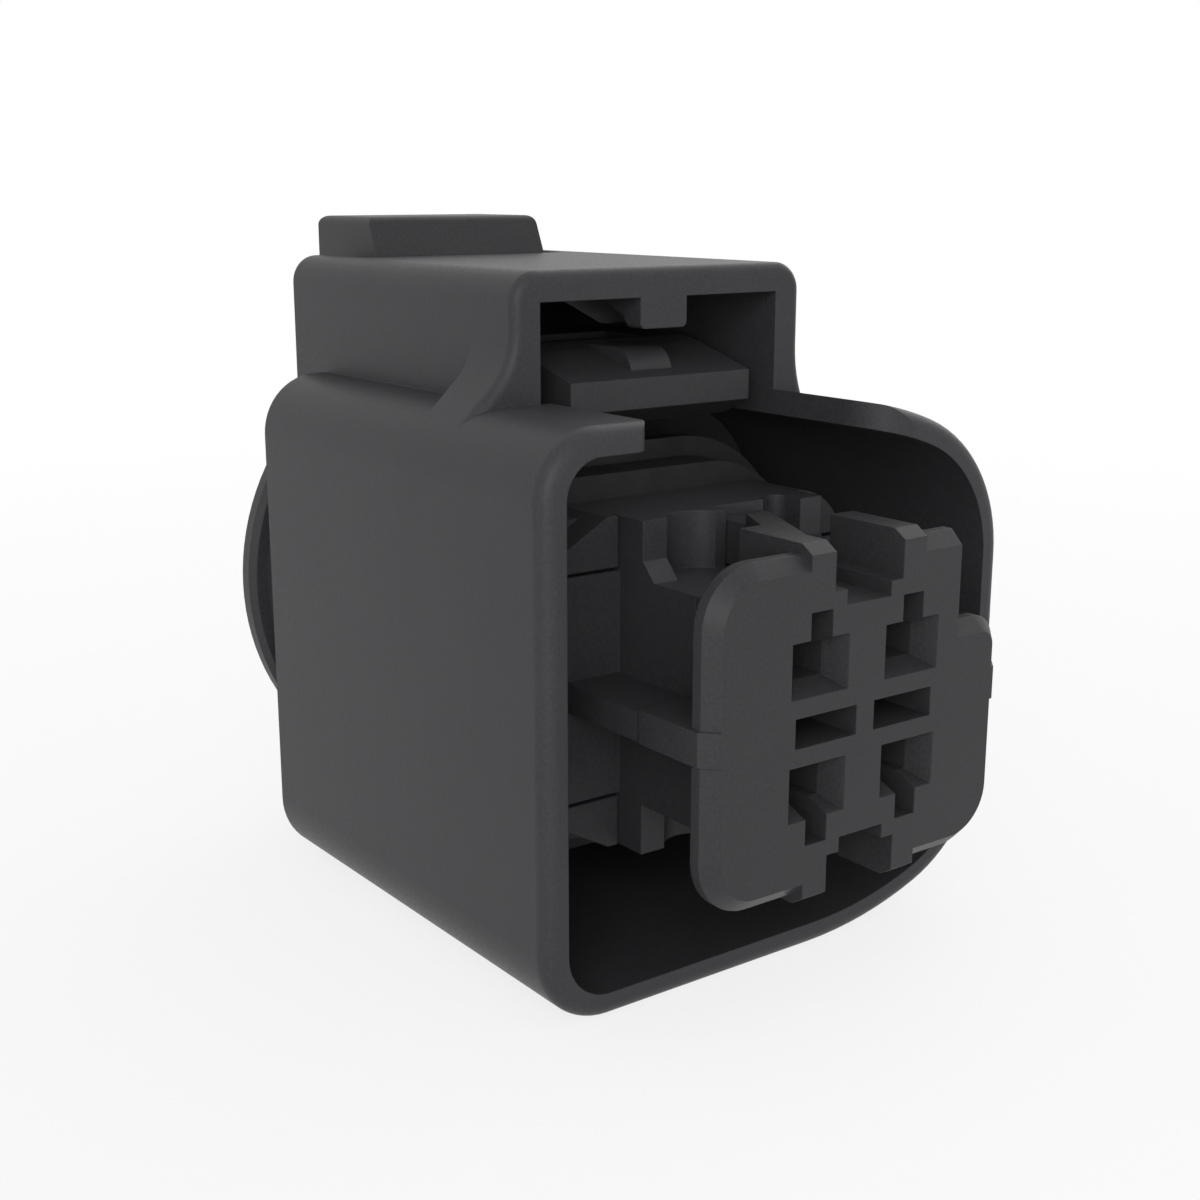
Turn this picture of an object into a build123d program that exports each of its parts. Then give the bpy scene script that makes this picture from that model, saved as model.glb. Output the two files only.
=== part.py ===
from build123d import *
import math
import os

# Sealed four-way plug connector for a wiring harness, with its rocking latch.
# Lengths are in millimetres. X runs across, Y from the mating face back to the wires, Z up.
# Every piece is drawn about the middle of the two by two terminal grid, with Y = 0 on the
# mating face, and is moved at the end so that the origin lies under the middle of the part.

os.makedirs("parts", exist_ok=True)

# Terminal grid
pitch = 5.0
cavity_width = 3.0
cavity_height = 2.26
row_signs = (1, -1)
column_signs = (-1, 1)

# Outer shell, given by its inside
shell_half_width = 11.45
shell_half_height = 10.8
shell_wall = 1.1
shell_front = 4.2
shell_left_radius = 1.6
shell_low_left_radius = 2.05
tight_corner_radius = 1.2
shell_sweep_radius = 17.5
shell_sweep_angle = 20.7
shell_turn_radius = 5.7
shell_front_round = 0.65
lip_corner_round = 0.9
cut_corner_round = 2.2

# Bridge that guards the latch, with its heights given from the top of the shell
bridge_centre = -1.635
bridge_inner = 6.3
bridge_left_wall = 1.25
bridge_right_wall = 1.5
bridge_roof = 1.25
bridge_front = 10.95
bridge_rise = 5.3
bridge_overhang = 3.2
bridge_roof_gap = 3.9
bridge_round = 1.25
bridge_front_round = 0.45
pad_window_inset = 0.6
gusset_depth = 3.1
gusset_radius = 2.9
gusset_rise = 2.9
flare_rise = 1.6
flare_reach = 0.4
lip_reach = 0.5
floor_front = 15.2
stop_half_width = 1.23
stop_drop = 1.3

# Core that carries the terminals
core_left = 5.25
core_right = 4.65
core_top = 7.3
core_bottom = 7.1
nose_half_height = 4.85
core_front = 4.25
post_front = 7.65
post_width = 1.25
foot_depth = 0.75
foot_height = 0.8
scallop_radius = 1.45
scallop_centre = 2.7
scallop_back = 0.8
middle_left = 0.82
middle_right = 2.13
middle_front = 8.5
flute_left = 2.3
flute_right = 3.4
slit_rear = 9.1
collar_front = 9.2
collar_rear = 12.5
collar_left = 7.95
collar_right = 7.5
collar_chamfer_width = 2.1
collar_chamfer_height = 1.15
collar_radius = 2.9
upper_pad_line = 5.08
lower_pad_line = 4.8
pad_groove = 0.16
pad_groove_depth = 0.5
guide_half_height = 0.62
guide_reach = 8.0
back_wall_front = 20.0
back_wall = 2.4
release_half_height = 0.613
release_inner = 0.48
release_outer = 3.74
release_rear = 14.5
finger_front = 6.8
finger_slit = 0.28

# Interface seal
ring_half_height = 8.4
ring_left = 9.05
ring_right = 7.8
ring_corner = 5.5
ring_wall = 1.35
ring_length = 4.8
ring_rib_height = 0.9
ring_rib_width = 0.9
ring_rib_start = 2.05

# Rear tube, wire seal and cover, given from the back wall
tube_rise = 1.0
tube_radius = 9.8
tube_wall = 1.3
tube_length = 10.6
seal_pocket_depth = 6.2
shell_setback = 3.6
wire_hole_radius = 1.1
wire_seal_length = 5.6
cover_flange_radius = 11.8
cover_flange_gap = 0.4
cover_flange_thickness = 1.3
cover_edge = 0.3
cover_boss_radius = 8.3
cover_boss_height = 1.3
cover_skirt_length = 3.6
cover_skirt_wall = 0.95
cover_cut_z = 8.0
cover_hole_radius = 1.7
lug_length = 4.4
lug_height = 0.55
lug_ramp = 1.6

# Front retainer
plate_half_width = 8.0
plate_half_height = 6.92
plate_thickness = 1.1
plate_chamfer = 0.6
plate_left_radius = 2.4
plate_right_radius = 2.6
plate_step_x = 5.2
plate_step_z = 3.0
plate_step_round = 1.2
retainer_depth = 4.2
retainer_rib_reach = 0.14
retainer_rib_top = 0.8
retainer_rib_bottom = 0.6
fin_inner = 1.86
fin_outer = 3.12
fin_top = 7.33
fin_bevel_depth = 0.6
fin_bevel_height = 0.38
notch_half_width = 1.21
notch_floor = 4.78
step_floor = 5.4
slot_half_width = 0.57
slot_top = 4.72
funnel = 0.45
tongue_front = 1.45
tongue_left = 0.75
tongue_rear = 6.5
tongue_tip = 0.45
tongue_root_x = 1.0
tongue_root_y = 3.3
tongue_step = 0.45
tongue_end_right = 2.0
blade_half_width = 0.5
blade_half_height = 3.4
blade_length = 4.6

# Latch lever, with its heights given from the top of the shell
lever_half_width = 4.81
bar_sink = 0.57
bar_thickness = 1.29
beam_rise = 1.95
beam_thickness = 1.4
catch_sink = 1.35
pad_rise = 1.83
pad_length = 5.9
pad_overhang = 2.5
pad_lean = 0.8
pad_wall = 1.1
pivot_back = 9.55
pivot_rise = 1.25
pivot_radius = 0.9
pivot_socket_depth = 0.7
bump_half_width = 1.1
bump_height = 0.55

# Fits
running_fit = 0.06
seat_fit = 0.05
slide_fit = 0.12

# Terminals
sheet = 0.3
terminal_width = 2.6
terminal_height = 1.9
terminal_front = 5.0
terminal_box_rear = 12.6
terminal_rear = 22.4

# Places that follow from the values above
shell_top = shell_half_height + shell_wall
shoulder_front = collar_rear + ring_length + 2 * seat_fit
back_wall_rear = back_wall_front + back_wall
tube_rear = back_wall_front + tube_length
shell_rear = tube_rear - shell_setback
seal_pocket_floor = tube_rear - seal_pocket_depth
cover_flange_front = tube_rear + cover_flange_gap
cover_flange_rear = cover_flange_front + cover_flange_thickness
cover_boss_rear = cover_flange_rear + cover_boss_height
cover_skirt_front = cover_flange_front - cover_skirt_length
bridge_top = shell_top + bridge_rise
bridge_rear = shell_rear + bridge_overhang
bridge_roof_rear = bridge_rear - bridge_roof_gap
bar_bottom = shell_top - bar_sink
bar_top = bar_bottom + bar_thickness
beam_top = shell_top + beam_rise
catch_bottom = shell_top - catch_sink
pad_top = bridge_top + pad_rise
lever_front = bridge_front
lever_rear = bridge_rear + pad_overhang
pad_front = lever_rear - pad_length
pivot_y = bridge_front + pivot_back
pivot_z = shell_top + pivot_rise
origin_shift = (0, -cover_boss_rear / 2, shell_top)


def block(x0, x1, y0, y1, z0, z1):
    # A box given by its six faces
    middle = Pos((x0 + x1) / 2, (y0 + y1) / 2, (z0 + z1) / 2)
    return middle * Box(x1 - x0, y1 - y0, z1 - z0)


def prism(face, y0, y1):
    # A face drawn in X and Z, drawn out along Y
    plane = Plane(origin=(0, y0, 0), x_dir=(1, 0, 0), z_dir=(0, -1, 0))
    return extrude(plane * face, amount=y1 - y0, dir=(0, 1, 0))


def side_prism(points, x0, x1):
    # A polygon drawn in Y and Z, drawn out along X
    plane = Plane(origin=(x0, 0, 0), x_dir=(0, 1, 0), z_dir=(1, 0, 0))
    return extrude(plane * make_face(Polyline(points, close=True)), amount=x1 - x0)


def rod(x, z, radius, y0, y1):
    # A round bar along Y
    return prism(Pos(x, z) * Circle(radius), y0, y1)


def shell_outline(grow):
    # Tight corners on the left, and a shallow sweep into a rounder turn on the right
    upper = half_outline(grow, shell_left_radius)
    lower = [mirror(edge, about=Plane.XZ) for edge in half_outline(grow, shell_low_left_radius)]
    return make_face(upper + lower)


def half_outline(grow, left_radius):
    # Edges of the outline's upper half, from left to right
    width = shell_half_width + grow
    height = shell_half_height + grow
    left = max(left_radius + grow, tight_corner_radius)
    sweep = shell_sweep_radius + grow
    turn = shell_turn_radius + grow
    angle = math.radians(shell_sweep_angle)
    turn_x = width - turn
    sweep_x = turn_x - (sweep - turn) * math.sin(angle)
    sweep_z = height - sweep
    turn_z = sweep_z + (sweep - turn) * math.cos(angle)
    half = angle / 2
    late = (angle + math.pi / 2) / 2
    joint = (sweep_x + sweep * math.sin(angle), sweep_z + sweep * math.cos(angle))
    sweep_middle = (sweep_x + sweep * math.sin(half), sweep_z + sweep * math.cos(half))
    turn_middle = (turn_x + turn * math.sin(late), turn_z + turn * math.cos(late))
    diagonal = left * (1 - math.sqrt(0.5))
    corner_middle = (-width + diagonal, height - diagonal)
    return [
        Line((-width, 0), (-width, height - left)),
        ThreePointArc((-width, height - left), corner_middle, (-width + left, height)),
        Line((-width + left, height), (sweep_x, height)),
        ThreePointArc((sweep_x, height), sweep_middle, joint),
        ThreePointArc(joint, turn_middle, (width, turn_z)),
        Line((width, turn_z), (width, 0)),
    ]


def shell():
    # Outer tube, open at both ends, with a rounded front edge
    tube = prism(shell_outline(shell_wall), shell_front, shell_rear)
    front = tube.edges().group_by(Axis.Y)[0]
    tube = fillet(front, shell_front_round)
    return tube - prism(shell_outline(0), shell_front - 1, shell_rear + 1)


def latch_window():
    # The top wall is cut away from the front edge to behind the latch's catch
    x0 = bridge_centre - bridge_inner
    x1 = bridge_centre + bridge_inner
    lip = x0 + lip_reach
    low = shell_half_height - shell_wall
    high = bridge_top - bridge_roof
    front = shell_front - shell_wall
    window = block(x0, x1, bridge_front, floor_front, low, high)
    window += block(lip, x1, front, bridge_front, low, high)
    window += upright_corner(lip, -1, lip_corner_round, low, high)
    window += upright_corner(x1, 1, cut_corner_round, low, high)
    return window


def upright_corner(x, side, radius, low, high):
    # What a corner of the window's front edge loses when it is rounded
    x0 = min(x, x + side * radius)
    corner = block(x0, x0 + radius, shell_front - shell_wall, shell_front + radius, low, high)
    middle = Pos(x + side * radius, shell_front + radius, (low + high) / 2)
    return corner - middle * Cylinder(radius, high - low)


def bridge():
    # Guard over the latch, with a soft outside and a window at its rear for the press pad
    body = prism(guard_outline(), bridge_front, bridge_front + gusset_depth)
    outer = body.edges().group_by(Axis.Y)[0].filter_by(lambda e: e.center().Z > shell_top - shell_wall / 3)
    body = fillet(outer, bridge_front_round)
    body += prism(roof_outline(), bridge_front + gusset_depth - bridge_front_round, bridge_rear)
    inner_top = bridge_top - bridge_roof
    inside = block(
        bridge_centre - bridge_inner,
        bridge_centre + bridge_inner,
        bridge_front - 1,
        bridge_rear + 1,
        shell_top,
        inner_top,
    )
    pad_window = block(
        bridge_centre - bridge_inner + pad_window_inset,
        bridge_centre + bridge_inner - pad_window_inset,
        bridge_roof_rear,
        bridge_rear + 1,
        inner_top - 1,
        bridge_top + 1,
    )
    return body - inside - pad_window


def roof_outline():
    # Outside of the bridge behind its gussets, rounded along its two upper edges
    x0 = bridge_centre - bridge_inner - bridge_left_wall
    x1 = bridge_centre + bridge_inner + bridge_right_wall
    points = [(x0, shell_half_height), (x1, shell_half_height), (x1, bridge_top), (x0, bridge_top)]
    face = make_face(Polyline(points, close=True))
    return fillet(face.vertices().group_by(Axis.Y)[-1], bridge_round)


def guard_outline():
    # Outside of the bridge at its front: a hollow flare on the left, which runs out on the shell's
    # rounded corner by a common tangent, and a slight flare at the foot of the right side wall
    corner = shell_left_radius + shell_wall
    corner_x = -(shell_half_width + shell_wall) + corner
    corner_z = shell_top - corner
    left = bridge_centre - bridge_inner - bridge_left_wall
    right = bridge_centre + bridge_inner + bridge_right_wall
    gusset_top = shell_top + gusset_rise
    hollow_x = left - gusset_radius
    apart_x = corner_x - hollow_x
    apart_z = corner_z - gusset_top
    turn = math.acos((gusset_radius + corner) / math.hypot(apart_x, apart_z))
    angle = math.atan2(apart_z, apart_x) + turn
    arc_end = (hollow_x + gusset_radius * math.cos(angle), gusset_top + gusset_radius * math.sin(angle))
    foot = (corner_x - corner * math.cos(angle), corner_z - corner * math.sin(angle))
    sunk = shell_top - shell_wall / 2
    under_foot = (foot[0] + shell_wall / 2, foot[1] - shell_wall / 2)
    diagonal = bridge_round * (1 - math.sqrt(0.5))
    left_corner = (left + diagonal, bridge_top - diagonal)
    right_corner = (right - diagonal, bridge_top - diagonal)
    flare_end = (right + flare_reach, sunk)
    outline = [
        Line(under_foot, foot),
        Line(foot, arc_end),
        TangentArc(arc_end, (left, gusset_top), tangent=(arc_end[0] - foot[0], arc_end[1] - foot[1])),
        Line((left, gusset_top), (left, bridge_top - bridge_round)),
        ThreePointArc((left, bridge_top - bridge_round), left_corner, (left + bridge_round, bridge_top)),
        Line((left + bridge_round, bridge_top), (right - bridge_round, bridge_top)),
        ThreePointArc((right - bridge_round, bridge_top), right_corner, (right, bridge_top - bridge_round)),
        Line((right, bridge_top - bridge_round), (right, shell_top + flare_rise)),
        TangentArc((right, shell_top + flare_rise), flare_end, tangent=(0, -1)),
        Line(flare_end, (bridge_centre, sunk)),
        Line((bridge_centre, sunk), under_foot),
    ]
    return make_face(outline)


def latch_stop(ceiling):
    # Stop under the roof, which keeps the latch bar from being lifted too far
    low = ceiling - stop_drop
    points = [
        (bridge_front, ceiling + 0.3),
        (bridge_front, low),
        (bridge_front + 0.9, low),
        (bridge_front + 1.2, low + 0.5),
        (bridge_front + 2.5, ceiling - 0.3),
        (bridge_front + 3.0, ceiling + 0.3),
    ]
    solid = side_prism(points, bridge_centre - stop_half_width, bridge_centre + stop_half_width)
    corners = solid.edges().filter_by(Axis.Y).group_by(Axis.Z)[0]
    return fillet(corners, 0.25)


def core_height(row):
    return core_top if row > 0 else -core_bottom


def core_side(column):
    return core_right if column > 0 else -core_left


def ring_outline(grow):
    # Outline of the interface seal and of its seat: tight corners on the left, round ones on the right
    height = ring_half_height + grow
    left = -ring_left - grow
    right = ring_right + grow
    points = [(left, -height), (right, -height), (right, height), (left, height)]
    face = make_face(Polyline(points, close=True))
    face = fillet(face.vertices().group_by(Axis.X)[-1], ring_corner + grow)
    return fillet(face.vertices().group_by(Axis.X)[0], tight_corner_radius)


def collar_outline():
    # Corners bevelled on the left and rounded on the right
    face = make_face(
        Polyline(
            [
                (-collar_left, -core_bottom), (collar_right, -core_bottom),
                (collar_right, core_top), (-collar_left, core_top),
            ],
            close=True,
        )
    )
    right = face.vertices().group_by(Axis.X)[-1]
    face = fillet(right, collar_radius)
    for sign in row_signs:
        z = core_height(sign)
        cut = [
            (-collar_left, z),
            (-collar_left + collar_chamfer_width, z),
            (-collar_left, z - sign * collar_chamfer_height),
        ]
        face -= make_face(Polyline(cut, close=True))
    return face


def core():
    # Terminal block: a nose, four posts with hollows between them, a collar and the seat of the seal
    solid = block(-core_left, core_right, core_front, post_front + 0.5, -nose_half_height, nose_half_height)
    solid += block(-core_left, core_right, post_front, collar_front + 0.5, -core_bottom, core_top)
    for row in row_signs:
        solid -= front_hollows(row)
    for column in column_signs:
        solid += post_foot(column)
    solid += prism(collar_outline(), collar_front, collar_rear)
    for row in row_signs:
        for column in column_signs:
            solid -= corner_groove(row, column)
    solid += prism(ring_outline(-ring_wall), collar_front + 1.5, back_wall_front + 0.5)
    solid += prism(ring_outline(0), shoulder_front, back_wall_front + 0.5)
    solid += block(
        -guide_reach, guide_reach, core_front, collar_rear, -guide_half_height, guide_half_height
    )
    return solid


def front_hollows(row):
    # Upright hollows in the front of the core: a round one on the left, and a flat one and a flute
    low = min(row * nose_half_height, core_height(row) + row)
    high = max(row * nose_half_height, core_height(row) + row)
    front = post_front - 1
    middle = Pos(-scallop_centre, post_front + scallop_back - scallop_radius, (low + high) / 2)
    cut = middle * Cylinder(scallop_radius, high - low)
    cut += block(-middle_left, middle_right, front, middle_front, low, high)
    cut += block(middle_right - 0.1, flute_left, front, slit_rear, low, high)
    radius = (flute_right - flute_left) / 2
    middle = Pos((flute_left + flute_right) / 2, slit_rear - radius, (low + high) / 2)
    cut += middle * Cylinder(radius, high - low)
    cut += block(flute_left - 0.05, flute_right, front, slit_rear - radius, low, high)
    return cut


def post_foot(column):
    # Sloping foot between an upper post and the top of the nose
    x0 = core_side(column)
    x1 = x0 - column * post_width
    low = nose_half_height - 0.1
    points = [
        (post_front + 0.1, low),
        (post_front - foot_depth, low),
        (post_front - foot_depth, nose_half_height),
        (post_front, nose_half_height + foot_height),
        (post_front + 0.1, nose_half_height + foot_height),
    ]
    return side_prism(points, min(x0, x1), max(x0, x1))


def corner_groove(row, column):
    # Narrow shut-off line that frames each corner of the collar
    x0 = core_side(column)
    x1 = column * (collar_left + 1)
    z0 = upper_pad_line if row > 0 else -lower_pad_line
    z1 = row * (core_top + 1)
    front = collar_front - 0.3
    rear = collar_front + pad_groove_depth
    level = block(min(x0, x1), max(x0, x1), front, rear, z0 - pad_groove / 2, z0 + pad_groove / 2)
    beside = x0 + column * pad_groove / 2
    upright = block(min(x0, beside), max(x0, beside), front, rear, min(z0, z1), max(z0, z1))
    return level + upright


def rear_tube():
    # Round tube that holds the wire seal, with lugs for the cover to snap over
    tube = rod(0, tube_rise, tube_radius, back_wall_front, tube_rear)
    tube -= rod(0, tube_rise, tube_radius - tube_wall, seal_pocket_floor, tube_rear + 1)
    for side in column_signs:
        tube += lug(side)
    return tube


def lug(side):
    # Wedge on the side of the tube, with its ramp facing the wires
    inner = tube_radius - 0.4
    outer = tube_radius + lug_height
    front = cover_skirt_front + 1.0
    points = [(inner, front), (outer, front), (inner, front + lug_ramp)]
    wedge = make_face(Polyline([(side * x, y) for x, y in points], close=True))
    return Pos(0, 0, tube_rise - lug_length / 2) * extrude(Plane.XY * wedge, amount=lug_length)


def cavities():
    # Terminal passages, with the room that the locking fingers bend into
    cuts = []
    for row in row_signs:
        for column in column_signs:
            x = column * pitch / 2
            z = row * pitch / 2
            cuts.append(
                block(
                    x - cavity_width / 2, x + cavity_width / 2, core_front - 1, seal_pocket_floor + 0.5,
                    z - cavity_height / 2, z + cavity_height / 2,
                )
            )
            cuts.append(finger_slits(row, column))
    for column in column_signs:
        x0 = column * release_inner
        x1 = column * release_outer
        cuts.append(
            block(
                min(x0, x1), max(x0, x1), core_front - 1, release_rear,
                -release_half_height, release_half_height,
            )
        )
    return cuts


def finger_slits(row, column):
    # Slits that free a locking finger on two sides and at its front end
    low = release_half_height - 0.1
    high = pitch / 2 - cavity_height / 2 + 0.1
    z0 = min(row * low, row * high)
    z1 = max(row * low, row * high)
    x = column * pitch / 2
    half = cavity_width / 2 - 0.35
    rear = release_rear - 1.6
    cut = block(x - half - finger_slit, x - half, finger_front, rear, z0, z1)
    cut += block(x + half, x + half + finger_slit, finger_front, rear, z0, z1)
    cut += block(x - half, x + half, finger_front, finger_front + finger_slit, z0, z1)
    return cut


def finger_hook(row, column):
    # Hook on a locking finger, which holds the terminal's shoulder
    x = column * pitch / 2
    wall = row * (pitch / 2 - cavity_height / 2)
    tip = wall + row * 0.32
    root = wall - row * 0.2
    front = finger_front + finger_slit
    points = [(front, root), (front, wall), (front + 1.0, tip), (front + 1.6, tip), (front + 1.6, root)]
    return side_prism(points, x - 0.7, x + 0.7)


def housing():
    solid = shell() + bridge()
    solid -= latch_window()
    solid += latch_stop(bridge_top - bridge_roof)
    solid += prism(shell_outline(0.3), back_wall_front, back_wall_rear)
    solid += core()
    solid += rear_tube()
    floor = block(
        bridge_centre - bridge_inner - bridge_left_wall, bridge_centre + bridge_inner + bridge_right_wall,
        shell_rear - 1, bridge_rear, shell_half_height, shell_top,
    )
    solid += floor - rod(0, tube_rise, tube_radius - tube_wall / 2, seal_pocket_floor, tube_rear + 1)
    for cut in cavities():
        solid -= cut
    for row in row_signs:
        for column in column_signs:
            solid += finger_hook(row, column)
    reach = bridge_inner + pivot_socket_depth
    socket = Cylinder(pivot_radius + running_fit, 2 * reach)
    return solid - Pos(bridge_centre, pivot_y, pivot_z) * Rot(0, 90, 0) * socket


def plate_outline():
    # Front plate with its upper right corner stepped down
    w = plate_half_width
    h = plate_half_height
    points = [(-w, -h), (w, -h), (w, plate_step_z), (plate_step_x, plate_step_z), (plate_step_x, h), (-w, h)]
    face = make_face(Polyline(points, close=True))
    left = [v for v in face.vertices() if v.X < -w + 0.01]
    face = fillet(left, plate_left_radius)
    low = [v for v in face.vertices() if v.X > w - 0.01 and v.Y < -h + 0.01]
    face = fillet(low, plate_right_radius)
    high = [v for v in face.vertices() if v.X > w - 0.01 and abs(v.Y - plate_step_z) < 0.01]
    return fillet(high, plate_step_round)


def fin(row, column):
    # Upright fin beside the notch, with a bevelled front end
    x0 = column * fin_inner
    x1 = column * fin_outer
    low = row * (nose_half_height - 0.3)
    high = row * fin_top
    cut = row * (fin_top - fin_bevel_height)
    points = [(0, low), (0, cut), (fin_bevel_depth, high), (retainer_depth, high), (retainer_depth, low)]
    return side_prism(points, min(x0, x1), max(x0, x1))


def key_tongue():
    # Slanting tongue that leads from the left fin over the nose, and steps down behind its tip
    low = nose_half_height + slide_fit
    step_y = tongue_rear - 0.1
    front_points = [
        (-fin_inner - 0.05, tongue_front),
        (-fin_inner - 0.05, retainer_depth),
        (-tongue_left, tongue_rear),
        (tongue_tip, tongue_rear),
        (-tongue_root_x, tongue_root_y),
    ]
    rear_points = [
        (-tongue_left, step_y),
        (-tongue_left, middle_front - slide_fit),
        (tongue_end_right, middle_front - slide_fit),
        (tongue_tip, step_y),
    ]
    front = make_face(Polyline(front_points, close=True))
    rear = make_face(Polyline(rear_points, close=True))
    top = fin_top - 0.05
    tongue = Pos(0, 0, low) * extrude(Plane.XY * front, amount=top - low)
    return tongue + Pos(0, 0, low) * extrude(Plane.XY * rear, amount=top - tongue_step - low)


def front_retainer():
    plate = prism(plate_outline(), 0, plate_thickness)
    bevelled = plate.faces().sort_by(Axis.Y)[0].edges().filter_by(bevelled_edge)
    plate = chamfer(bevelled, plate_chamfer)
    plate += block(
        -core_left, core_left, plate_thickness - 0.1, retainer_depth, -nose_half_height, nose_half_height
    )
    for side in column_signs:
        plate += retainer_rib(side)
        x0 = side * notch_half_width
        x1 = side * fin_outer
        plate += block(
            min(x0, x1), max(x0, x1), plate_thickness - 0.1, retainer_depth, -step_floor, step_floor
        )
    front = -plate_thickness
    rear = retainer_depth + plate_thickness
    for row in row_signs:
        z0 = row * step_floor
        z1 = row * (plate_half_height + plate_thickness)
        plate -= block(-fin_inner, fin_inner, front, rear, min(z0, z1), max(z0, z1))
        z0 = row * notch_floor
        plate -= block(-notch_half_width, notch_half_width, front, rear, min(z0, z1), max(z0, z1))
    for row in row_signs:
        for column in column_signs:
            plate += fin(row, column)
    plate += key_tongue()
    for row in row_signs:
        for column in column_signs:
            plate -= entry(row, column)
    for column in column_signs:
        x0 = column * release_inner
        x1 = column * release_outer
        plate -= block(
            min(x0, x1), max(x0, x1), front, rear, -release_half_height, release_half_height
        )
    return plate + centre_blade()


def retainer_rib(side):
    # Level rib on the side of the retainer, bevelled at its front like the plate
    inner = side * (core_left - 0.2)
    outer = side * (plate_half_width + retainer_rib_reach)
    rear = retainer_depth - 0.05
    points = [
        (inner, 0), (outer - side * plate_chamfer, 0), (outer, plate_chamfer), (outer, rear), (inner, rear),
    ]
    face = make_face(Polyline(points, close=True))
    height = retainer_rib_top + retainer_rib_bottom
    return Pos(0, 0, -retainer_rib_bottom) * extrude(Plane.XY * face, amount=height, dir=(0, 0, 1))


def bevelled_edge(edge):
    # The plate's front is bevelled along its left side, its top and the top of its step
    middle = edge.center()
    left = middle.X < -plate_half_width + plate_left_radius
    top = middle.Z > plate_step_z - plate_step_round / 2 and abs(middle.X - plate_step_x) > 0.01
    return left or top


def entry(row, column):
    # Funnelled mouth of a terminal passage, with the narrow slot that runs out from it
    x = column * pitch / 2
    z = row * pitch / 2
    mouth = Rectangle(cavity_width, cavity_height)
    throat = Rectangle(cavity_width - 2 * funnel, cavity_height - 2 * funnel)
    depth = plate_thickness
    front = Plane(origin=(x, 0, z), x_dir=(1, 0, 0), z_dir=(0, -1, 0))
    back = Plane(origin=(x, depth, z), x_dir=(1, 0, 0), z_dir=(0, -1, 0))
    cut = loft([front * mouth, back * throat])
    cut += block(
        x - cavity_width / 2 + funnel, x + cavity_width / 2 - funnel, depth - 0.1, retainer_depth + 1,
        z - cavity_height / 2 + funnel, z + cavity_height / 2 - funnel,
    )
    z0 = row * pitch / 2
    z1 = row * slot_top
    cut += block(x - slot_half_width, x + slot_half_width, -1, retainer_depth + 1, min(z0, z1), max(z0, z1))
    return cut


def centre_blade():
    # Blade between the two columns of terminals, which holds the retainer in the core
    rear = retainer_depth + blade_length
    blade = block(
        -blade_half_width, blade_half_width, retainer_depth - 0.5, rear,
        -blade_half_height, blade_half_height,
    )
    return blade - block(
        -2 * blade_half_width, 2 * blade_half_width, retainer_depth + 0.1, rear + 1,
        -release_half_height, release_half_height,
    )


def blade_slot():
    half = blade_half_width + slide_fit / 2
    height = blade_half_height + slide_fit
    return block(-half, half, core_front - 1, retainer_depth + blade_length + 0.3, -height, height)


def lever_profile():
    # Side view of the lever, from the catch at the front to the press pad at the rear
    return [
        (lever_front, bar_bottom),
        (lever_front + 1.65, catch_bottom),
        (lever_front + 3.2, catch_bottom),
        (lever_front + 3.4, beam_top - beam_thickness),
        (pivot_y + 1.5, beam_top - beam_thickness),
        (pad_front - 1.2, beam_top + 0.2),
        (lever_rear, beam_top + 0.9),
        (lever_rear, pad_top),
        (pad_front + pad_lean, pad_top),
        (pad_front, bridge_top),
        (pad_front, beam_top + 2.0),
        (pad_front - 1.0, beam_top + 1.2),
        (pivot_y + 1.5, beam_top + 0.1),
        (lever_front + 4.6, beam_top),
        (lever_front + 3.4, beam_top - 0.25),
        (lever_front, bar_top),
    ]


def latch_lever():
    x0 = bridge_centre - lever_half_width
    x1 = bridge_centre + lever_half_width
    solid = side_prism(lever_profile(), x0, x1)
    rim = solid.edges().filter_by(lambda e: e.center().Z > pad_top - 0.01)
    solid = fillet(rim, 0.45)
    solid += catch_bump()
    solid -= pad_hollow()
    solid -= beam_window()
    reach = bridge_inner + pivot_socket_depth - running_fit
    for side in column_signs:
        near = side * (lever_half_width - 0.5)
        far = side * reach
        length = abs(far - near)
        middle = Pos(bridge_centre + (near + far) / 2, pivot_y, pivot_z)
        solid += middle * Rot(0, 90, 0) * Cylinder(pivot_radius, length)
    return solid


def catch_bump():
    # Rounded bump on the bar, which meets the stop under the roof
    rise = (beam_top - 0.25 - bar_top) / 3.4
    front = lever_front + 0.8
    base = bar_top + rise * 0.8
    crest = beam_top - 0.08
    arc = ThreePointArc((front, base - 0.05), (front + 0.3, base + bump_height), (front + 1.15, crest))
    back = Line((front + 1.15, crest), (front + 3.2, crest))
    down = Line((front + 3.2, crest), (front + 3.2, base - 0.3))
    close = Line((front + 3.2, base - 0.3), (front, base - 0.05))
    face = make_face([arc, back, down, close])
    plane = Plane(origin=(bridge_centre - bump_half_width, 0, 0), x_dir=(0, 1, 0), z_dir=(1, 0, 0))
    return extrude(plane * face, amount=2 * bump_half_width)


def pad_hollow():
    # The press pad is cored from below, with a rib left along the middle
    x0 = bridge_centre - lever_half_width + pad_wall
    x1 = bridge_centre + lever_half_width - pad_wall
    y0 = pad_front + pad_lean + pad_wall * 0.8
    y1 = lever_rear - pad_wall
    hollow = block(x0, x1, y0, y1, beam_top - 1, pad_top - pad_wall * 1.3)
    return hollow - block(bridge_centre - 0.5, bridge_centre + 0.5, y0, y1, beam_top - 1, pad_top)


def beam_window():
    # Window in the beam that leaves two arms, so that they can flex
    return block(
        bridge_centre - 2.6, bridge_centre + 2.6, lever_front + 5.2, pivot_y - 2.0,
        beam_top - 3, beam_top + 3,
    )


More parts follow.
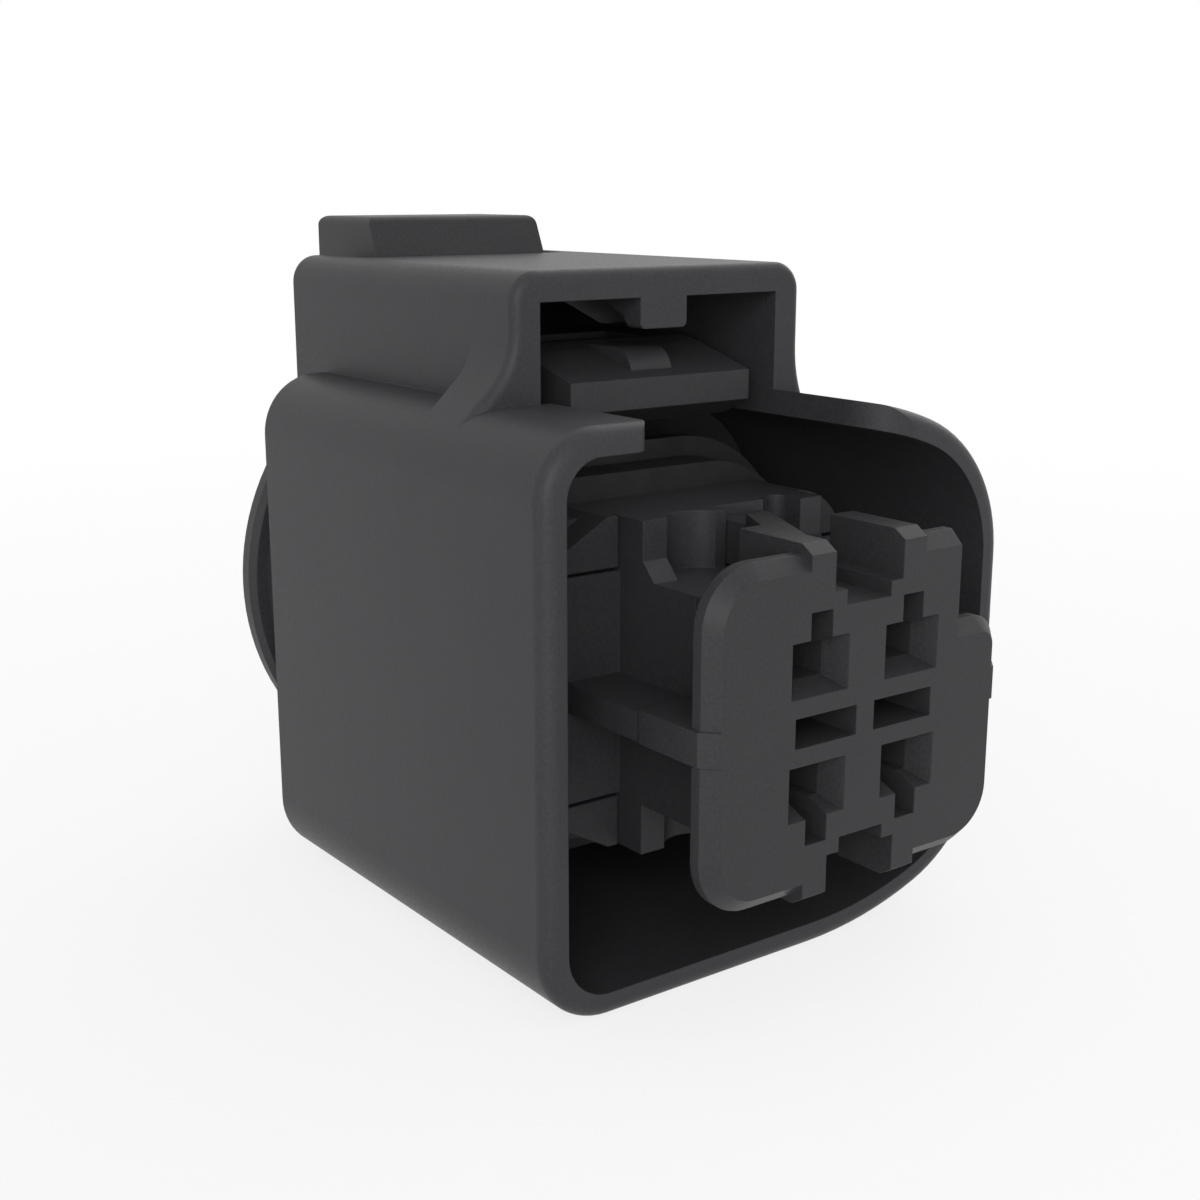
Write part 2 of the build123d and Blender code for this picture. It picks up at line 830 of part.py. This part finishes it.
def interface_seal():
    # Ribbed ring round the core, which the mating shell presses on
    start = collar_rear + seat_fit
    ring = prism(ring_outline(0), start, start + ring_length)
    rib = start + ring_rib_start
    ring += prism(ring_outline(ring_rib_height), rib, rib + ring_rib_width)
    return ring - prism(ring_outline(seat_fit - ring_wall), start - 1, start + ring_length + 1)


def wire_seal():
    # Round mat of rubber with a ribbed rim and a hole for each wire
    start = seal_pocket_floor + seat_fit
    rim = tube_radius - tube_wall - seat_fit
    mat = rod(0, tube_rise, rim - 0.3, start, start + wire_seal_length)
    for place in (0.8, 3.2):
        mat += rod(0, tube_rise, rim, start + place, start + place + 1.0)
    for row in row_signs:
        for column in column_signs:
            x = column * pitch / 2
            z = row * pitch / 2
            mat -= rod(x, z, wire_hole_radius, start - 1, start + wire_seal_length + 1)
    return mat


def rear_cover():
    # Round cover that snaps over the tube and keeps the wire seal in place
    flange = rod(0, tube_rise, cover_flange_radius, cover_flange_front, cover_flange_rear)
    flange = chamfer(flange.edges().group_by(Axis.Y)[0] + flange.edges().group_by(Axis.Y)[-1], cover_edge)
    boss = rod(0, tube_rise, cover_boss_radius, cover_flange_rear - 0.2, cover_boss_rear)
    boss = chamfer(boss.edges().group_by(Axis.Y)[-1], cover_edge)
    skirt_inner = tube_radius + slide_fit
    skirt_outer = skirt_inner + cover_skirt_wall
    skirt = rod(0, tube_rise, skirt_outer, cover_skirt_front, cover_flange_front + 0.2)
    skirt -= rod(0, tube_rise, skirt_inner, cover_skirt_front - 1, cover_flange_front + 0.2)
    solid = flange + boss + skirt
    for side in column_signs:
        solid -= lug_window(side)
    reach = skirt_outer + 1
    gap = cover_flange_front - cover_flange_gap
    solid -= block(-reach, reach, cover_skirt_front - 1, gap, cover_cut_z, tube_rise + reach)
    for row in row_signs:
        for column in column_signs:
            x = column * pitch / 2
            z = row * pitch / 2
            solid -= rod(x, z, cover_hole_radius, cover_flange_front - 1, cover_boss_rear + 1)
            mouth = Plane(origin=(x, cover_boss_rear, z), x_dir=(1, 0, 0), z_dir=(0, -1, 0))
            throat = Plane(origin=(x, cover_boss_rear - 0.5, z), x_dir=(1, 0, 0), z_dir=(0, -1, 0))
            solid -= loft([mouth * Circle(cover_hole_radius + 0.4), throat * Circle(cover_hole_radius)])
    return solid


def lug_window(side):
    x0 = side * (tube_radius - 0.5)
    x1 = side * (cover_flange_radius + 1)
    half = lug_length / 2 + 0.25
    front = cover_skirt_front + 0.85
    return block(min(x0, x1), max(x0, x1), front, front + 2.1, tube_rise - half, tube_rise + half)


def terminal():
    # Stamped socket terminal with a sprung tongue, a neck and two open crimp barrels
    w = terminal_width / 2
    h = terminal_height / 2
    box = block(-w, w, terminal_front, terminal_box_rear, -h, h)
    box -= block(-w + sheet, w - sheet, terminal_front - 1, terminal_box_rear + 1, -h + sheet, h - sheet)
    tongue_points = [
        (terminal_front + 0.6, h - sheet),
        (terminal_front + 0.6, h - sheet - 0.25),
        (terminal_front + 2.6, -h + sheet + 0.45),
        (terminal_front + 3.4, -h + sheet + 0.45),
        (terminal_box_rear - 1.0, h - sheet - 0.25),
        (terminal_box_rear - 1.0, h - sheet),
        (terminal_box_rear - 1.4, h - sheet),
        (terminal_front + 3.3, -h + sheet + 0.7),
        (terminal_front + 2.8, -h + sheet + 0.7),
        (terminal_front + 1.0, h - sheet),
    ]
    box += side_prism(tongue_points, -w + sheet + 0.35, w - sheet - 0.35)
    box -= block(-0.75, 0.75, 7.6, 9.3, -h - 1, -h + sheet)
    box += block(-w * 0.6, w * 0.6, terminal_box_rear - 0.5, terminal_rear, -h, -h + sheet)
    for start, length, reach in ((14.4, 2.8, 1.35), (18.4, 3.2, 1.7)):
        box += barrel(start, length, reach)
    return box


def barrel(start, length, reach):
    # Crimp barrel, open at the top
    h = terminal_height / 2
    radius = min(reach, 1.9) / 2 + 0.1
    centre = -h + radius
    tube = rod(0, centre, radius, start, start + length)
    tube -= rod(0, centre, radius - sheet, start - 1, start + length + 1)
    gap = radius * 0.45
    return tube - block(-gap, gap, start - 1, start + length + 1, centre, centre + radius + 1)


def placed(row, column):
    # The lower row is turned over, so that every terminal meets its own finger
    turn = Rot(0, 0 if row > 0 else 180, 0)
    return Pos(column * pitch / 2, 0, row * pitch / 2) * turn * terminal()


def save(shape, name):
    export_step(Pos(*origin_shift) * shape, "parts/" + name + ".step")


save(housing() - blade_slot(), "housing")
save(front_retainer(), "front_retainer")
save(latch_lever(), "latch_lever")
save(interface_seal(), "interface_seal")
save(wire_seal(), "wire_seal")
save(rear_cover(), "rear_cover")
number = 1
for row in row_signs:
    for column in column_signs:
        save(placed(row, column), "terminal_" + str(number))
        number += 1
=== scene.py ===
import math

import bmesh
import bpy
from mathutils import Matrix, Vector

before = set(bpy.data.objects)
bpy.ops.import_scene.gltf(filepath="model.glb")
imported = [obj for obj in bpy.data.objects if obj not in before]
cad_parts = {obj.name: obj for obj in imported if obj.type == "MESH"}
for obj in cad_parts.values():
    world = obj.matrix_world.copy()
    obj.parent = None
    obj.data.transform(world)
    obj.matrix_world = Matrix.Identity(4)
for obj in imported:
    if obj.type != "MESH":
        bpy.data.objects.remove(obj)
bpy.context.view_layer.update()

MM = 0.001

# Where the camera stands, in mm from the middle of the connector's footprint, and the way it looks
CAMERA_STAND = (-45.883, -61.261, 32.290)
CAMERA_SIGHT = (0.57655, 0.78093, -0.24028)

# Soft round lamps, as turn and height in degrees, size and distance in m, and power in watts, and the
# point in mm that they face
FRONT_LAMP = (38, 18, 0.3, 0.4, 0.8)
REAR_LAMP = (250, 35, 0.4, 0.4, 0.45)
LAMP_AIM = (0.0, 0.0, 12.0)

# How bright the light tent is as a lamp, where 1 is the white that the camera sees
TENT_LIGHT = 0.55

# Widths of the patterns, and the rounding that a mould leaves on an edge, in mm
MELT_CLOUD = 4.0
MOULD_GRAIN = 0.14
MOULD_EDGE = 0.07
OIL_BLOOM = 1.5
ROLL_LINE = 0.15
CARD_FIBRE = 1.2

# Depths of the patterns, in mm
PIT_DEPTH = 0.02
BLOOM_DEPTH = 0.02
LINE_DEPTH = 0.005

# The values that a noise pattern mostly stays between
NOISE_LOW = 0.3
NOISE_HIGH = 0.7

# How much of the clouds is added to the grain in the nylon's colour, and the values the sum stays between
CLOUD_SHARE = 0.25
SPECKLE_LOW = 0.4
SPECKLE_HIGH = 0.85

# How dense the pattern of roll lines is along the strip, as a share of how dense it is across it
LINE_STRETCH = 0.06

# The card under the part: half its width in m, how much of it is plain white near the part, and the
# distances in mm at which the part's shadow starts to fade and has gone
CARD_REACH = 2.0
CARD_WHITE = 0.8
SHADOW_FULL = 15
SHADOW_GONE = 150


def linear(code):
    # sRGB hex to the linear colour that a shader takes
    channels = [int(code[i:i + 2], 16) / 255 for i in (1, 3, 5)]
    return tuple(c / 12.92 if c <= 0.04045 else ((c + 0.055) / 1.055) ** 2.4 for c in channels) + (1.0,)


def add_node(tree, kind, inputs=None, stops=(), **settings):
    # One shader node, with its settings, its inputs given as values or as sockets to link, and the
    # places and colours of a colour ramp's stops
    node = tree.nodes.new(kind)
    for name, value in settings.items():
        setattr(node, name, value)
    for name, value in (inputs or {}).items():
        if isinstance(value, bpy.types.NodeSocket):
            tree.links.new(value, node.inputs[name])
        else:
            node.inputs[name].default_value = value
    for number, (position, code) in enumerate(stops):
        node.color_ramp.elements[number].position = position
        node.color_ramp.elements[number].color = linear(code)
    return node


def new_finish(name):
    # An empty material, its node tree, and the place on the piece that its patterns read
    finish = bpy.data.materials.new(name)
    finish.use_nodes = True
    tree = finish.node_tree
    tree.nodes.clear()
    return finish, tree, add_node(tree, "ShaderNodeTexCoord").outputs["Object"]


def moulded_nylon(name, dark, light, pit_strength):
    # Black nylon filled with short glass, injection moulded. The eye sees a matt charcoal with a broad
    # soft sheen, very faint clouds where the melt flowed, and a fine grain from the mould's wall.
    finish, tree, place = new_finish(name)
    clouds = add_node(
        tree, "ShaderNodeTexNoise",
        {"Vector": place, "Scale": 1 / (MELT_CLOUD * MM), "Detail": 3.0, "Roughness": 0.55,
         "Distortion": 0.6},
    ).outputs["Fac"]
    # The real grain is about 0.04 mm across. It is drawn coarser, because that is the finest that shows.
    grain = add_node(
        tree, "ShaderNodeTexNoise",
        {"Vector": place, "Scale": 1 / (MOULD_GRAIN * MM), "Detail": 2.0, "Roughness": 0.6},
    ).outputs["Fac"]
    # The grain with a little of the clouds, so that the pits also show as a faint speckle
    speckle = add_node(
        tree, "ShaderNodeMath", {0: clouds, 1: CLOUD_SHARE, 2: grain}, operation="MULTIPLY_ADD",
    ).outputs["Value"]
    tint = add_node(
        tree, "ShaderNodeValToRGB", {"Fac": speckle}, stops=[(SPECKLE_LOW, dark), (SPECKLE_HIGH, light)],
    )
    sheen = add_node(
        tree, "ShaderNodeMapRange",
        {"Value": grain, "From Min": NOISE_LOW, "From Max": NOISE_HIGH, "To Min": 0.40, "To Max": 0.52},
    )
    # The mould's cutters leave the outer edges slightly round, and the pits lie on that rounding
    eased = add_node(tree, "ShaderNodeBevel", {"Radius": MOULD_EDGE * MM}, samples=4)
    pits = add_node(
        tree, "ShaderNodeBump",
        {"Height": grain, "Normal": eased.outputs["Normal"], "Strength": pit_strength,
         "Distance": PIT_DEPTH * MM},
    )
    shader = add_node(
        tree, "ShaderNodeBsdfPrincipled",
        {"Base Color": tint.outputs["Color"], "Roughness": sheen.outputs["Result"],
         "IOR": 1.53, "Specular IOR Level": 0.17, "Normal": pits.outputs["Normal"]},
    )
    add_node(tree, "ShaderNodeOutputMaterial", {"Surface": shader.outputs["BSDF"]})
    return finish


def pressed_silicone(name):
    # Black silicone rubber, press moulded. It is darker and duller than the nylon, with a little oil bled
    # to the surface that leaves cloudy, slightly shinier patches.
    finish, tree, place = new_finish(name)
    bloom = add_node(
        tree, "ShaderNodeTexNoise", {"Vector": place, "Scale": 1 / (OIL_BLOOM * MM), "Detail": 3.0},
    ).outputs["Fac"]
    tint = add_node(
        tree, "ShaderNodeValToRGB", {"Fac": bloom},
        stops=[(NOISE_LOW, "#1d1d1e"), (NOISE_HIGH, "#252526")],
    )
    sheen = add_node(
        tree, "ShaderNodeMapRange",
        {"Value": bloom, "From Min": NOISE_LOW, "From Max": NOISE_HIGH, "To Min": 0.68, "To Max": 0.52},
    )
    skin = add_node(
        tree, "ShaderNodeBump", {"Height": bloom, "Strength": 0.2, "Distance": BLOOM_DEPTH * MM},
    )
    shader = add_node(
        tree, "ShaderNodeBsdfPrincipled",
        {"Base Color": tint.outputs["Color"], "Roughness": sheen.outputs["Result"],
         "IOR": 1.41, "Normal": skin.outputs["Normal"]},
    )
    add_node(tree, "ShaderNodeOutputMaterial", {"Surface": shader.outputs["BSDF"]})
    return finish


def tinned_brass(name):
    # Brass strip, rolled, tin plated and then stamped. The eye sees a soft grey metal with fine lines
    # that run lengthwise from the rolls. The real lines are finer than these, which are drawn to show.
    finish, tree, place = new_finish(name)
    along = add_node(tree, "ShaderNodeMapping", {"Vector": place, "Scale": (1.0, LINE_STRETCH, 1.0)})
    lines = add_node(
        tree, "ShaderNodeTexNoise",
        {"Vector": along.outputs["Vector"], "Scale": 1 / (ROLL_LINE * MM), "Detail": 3.0},
    ).outputs["Fac"]
    tint = add_node(
        tree, "ShaderNodeValToRGB", {"Fac": lines},
        stops=[(NOISE_LOW, "#a7a5a0"), (NOISE_HIGH, "#c8c7c2")],
    )
    sheen = add_node(
        tree, "ShaderNodeMapRange",
        {"Value": lines, "From Min": NOISE_LOW, "From Max": NOISE_HIGH, "To Min": 0.3, "To Max": 0.45},
    )
    scratch = add_node(
        tree, "ShaderNodeBump", {"Height": lines, "Strength": 0.15, "Distance": LINE_DEPTH * MM},
    )
    shader = add_node(
        tree, "ShaderNodeBsdfPrincipled",
        {"Base Color": tint.outputs["Color"], "Metallic": 1.0, "Roughness": sheen.outputs["Result"],
         "Normal": scratch.outputs["Normal"]},
    )
    add_node(tree, "ShaderNodeOutputMaterial", {"Surface": shader.outputs["BSDF"]})
    return finish


def white_share(tree, camera_share):
    # How much of what a ray meets is plain white: a given share for the camera, and all of it for what
    # metal or glass shows of the surroundings
    ray = add_node(tree, "ShaderNodeLightPath").outputs
    seen = add_node(
        tree, "ShaderNodeMath", {0: ray["Is Camera Ray"], 1: camera_share}, operation="MULTIPLY",
    ).outputs["Value"]
    mirrored = add_node(
        tree, "ShaderNodeMath",
        {0: ray["Is Glossy Ray"], 1: ray["Is Transmission Ray"]}, operation="MAXIMUM",
    ).outputs["Value"]
    return add_node(
        tree, "ShaderNodeMath", {0: seen, 1: mirrored}, operation="MAXIMUM",
    ).outputs["Value"]


def white_card(name):
    # White card under the part: white to the camera and in reflections, with the part's own shadow on it
    finish, tree, place = new_finish(name)
    fibre = add_node(tree, "ShaderNodeTexNoise", {"Vector": place, "Scale": 1 / (CARD_FIBRE * MM)})
    tint = add_node(
        tree, "ShaderNodeValToRGB", {"Fac": fibre.outputs["Fac"]},
        stops=[(0.0, "#f3f3f3"), (1.0, "#f8f8f8")],
    )
    card = add_node(tree, "ShaderNodeBsdfDiffuse", {"Color": tint.outputs["Color"]})
    white = add_node(tree, "ShaderNodeEmission", {"Strength": 1.0})
    # The shadow shows near the part, and the card runs out to plain white further away
    away = add_node(tree, "ShaderNodeVectorMath", {0: place}, operation="LENGTH").outputs["Value"]
    plain = add_node(
        tree, "ShaderNodeMapRange",
        {"Value": away, "From Min": SHADOW_FULL * MM, "From Max": SHADOW_GONE * MM,
         "To Min": CARD_WHITE, "To Max": 1.0},
    ).outputs["Result"]
    mixed = add_node(
        tree, "ShaderNodeMixShader",
        {0: white_share(tree, plain), 1: card.outputs["BSDF"], 2: white.outputs["Emission"]},
    )
    add_node(tree, "ShaderNodeOutputMaterial", {"Surface": mixed.outputs["Shader"]})
    return finish


def lay_card():
    sheet = bmesh.new()
    bmesh.ops.create_grid(sheet, x_segments=1, y_segments=1, size=CARD_REACH)
    mesh = bpy.data.meshes.new("card")
    sheet.to_mesh(mesh)
    sheet.free()
    mesh.materials.append(white_card("white_card"))
    card = bpy.data.objects.new("card", mesh)
    bpy.context.scene.collection.objects.link(card)


def hang_tent():
    # A white light tent: it shows white to the camera and in reflections, and gives a dimmer even light
    tent = bpy.data.worlds.new("light_tent")
    bpy.context.scene.world = tent
    tent.use_nodes = True
    tree = tent.node_tree
    tree.nodes.clear()
    level = add_node(
        tree, "ShaderNodeMapRange",
        {"Value": white_share(tree, 1.0), "To Min": TENT_LIGHT, "To Max": 1.0},
    )
    cloth = add_node(
        tree, "ShaderNodeBackground", {"Color": linear("#ffffff"), "Strength": level.outputs["Result"]},
    )
    add_node(tree, "ShaderNodeOutputWorld", {"Surface": cloth.outputs["Background"]})


def hang_lamp(name, turn, height, size, distance, power):
    # A soft round lamp, in the direction of its turn and height, that faces the middle of the connector
    turn, height = math.radians(turn), math.radians(height)
    reach = math.cos(height)
    way = Vector((-math.sin(turn) * reach, -math.cos(turn) * reach, math.sin(height)))
    data = bpy.data.lights.new(name, "AREA")
    data.shape = "DISK"
    data.size = size
    data.energy = power
    lamp = bpy.data.objects.new(name, data)
    lamp.location = Vector(LAMP_AIM) * MM + way * distance
    lamp.rotation_mode = "QUATERNION"
    lamp.rotation_quaternion = (-way).to_track_quat("-Z", "Y")
    bpy.context.scene.collection.objects.link(lamp)


def stand_camera():
    data = bpy.data.cameras.new("camera")
    data.lens = 50
    data.sensor_width = 36
    data.clip_start = 0.001
    data.clip_end = 20
    camera = bpy.data.objects.new("camera", data)
    camera.location = Vector(CAMERA_STAND) * MM
    camera.rotation_mode = "QUATERNION"
    camera.rotation_quaternion = Vector(CAMERA_SIGHT).to_track_quat("-Z", "Y")
    bpy.context.scene.collection.objects.link(camera)
    bpy.context.scene.camera = camera


bpy.context.scene.view_settings.view_transform = "Standard"
stand_camera()
hang_tent()
hang_lamp("front_lamp", *FRONT_LAMP)
hang_lamp("rear_lamp", *REAR_LAMP)
lay_card()

# The shell and the cover come from spark eroded moulds, and the retainer and the latch from smoother ones
grained_nylon = moulded_nylon("black_glass_nylon_moulded_grained", "#333336", "#3b3b3d", 0.5)
smooth_nylon = moulded_nylon("black_glass_nylon_moulded_smooth", "#303032", "#38383a", 0.3)
seal_rubber = pressed_silicone("black_silicone_pressed")
terminal_tin = tinned_brass("tinned_brass_stamped")

finish_of = {
    "housing": grained_nylon,
    "rear_cover": grained_nylon,
    "front_retainer": smooth_nylon,
    "latch_lever": smooth_nylon,
    "interface_seal": seal_rubber,
    "wire_seal": seal_rubber,
}
# What isn't in that list is one of the four terminals
for name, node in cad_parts.items():
    node.data.materials.clear()
    node.data.materials.append(finish_of.get(name, terminal_tin))
